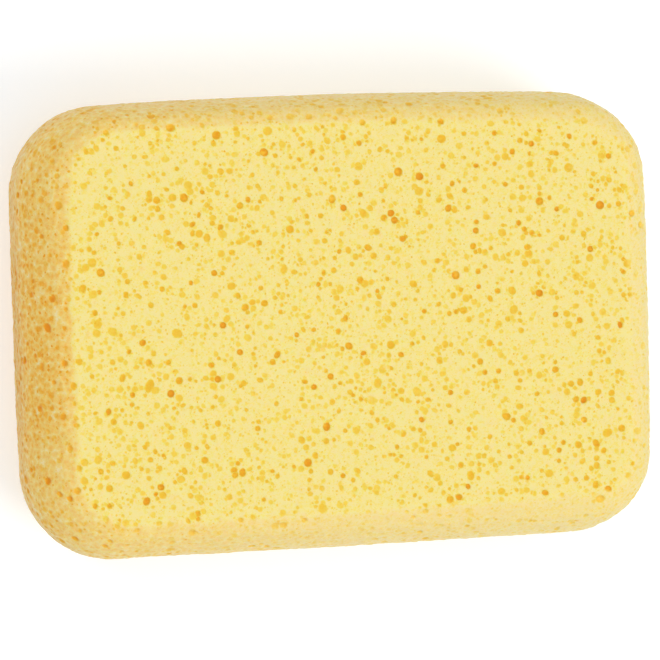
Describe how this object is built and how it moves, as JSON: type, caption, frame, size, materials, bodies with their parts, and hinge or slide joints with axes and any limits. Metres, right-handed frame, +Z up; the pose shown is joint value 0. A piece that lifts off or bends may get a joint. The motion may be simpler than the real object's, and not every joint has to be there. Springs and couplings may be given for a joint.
{
  "type": "grouting sponge",
  "caption": "Hand-held block of yellow open-cell foam with rounded corners and bulging sides, used wet to wipe and smooth grout joints between tiles.",
  "frame": {"origin": "middle of the lower face, on the surface the sponge lies on", "axes": "+X along the length, +Y across the width, +Z up through the thickness"},
  "size_m": [0.1842, 0.1302, 0.054],
  "materials": {
    "foam": null
  },
  "bodies": {
    "root": {"sponge_block": "foam"}
  },
  "joints": []
}
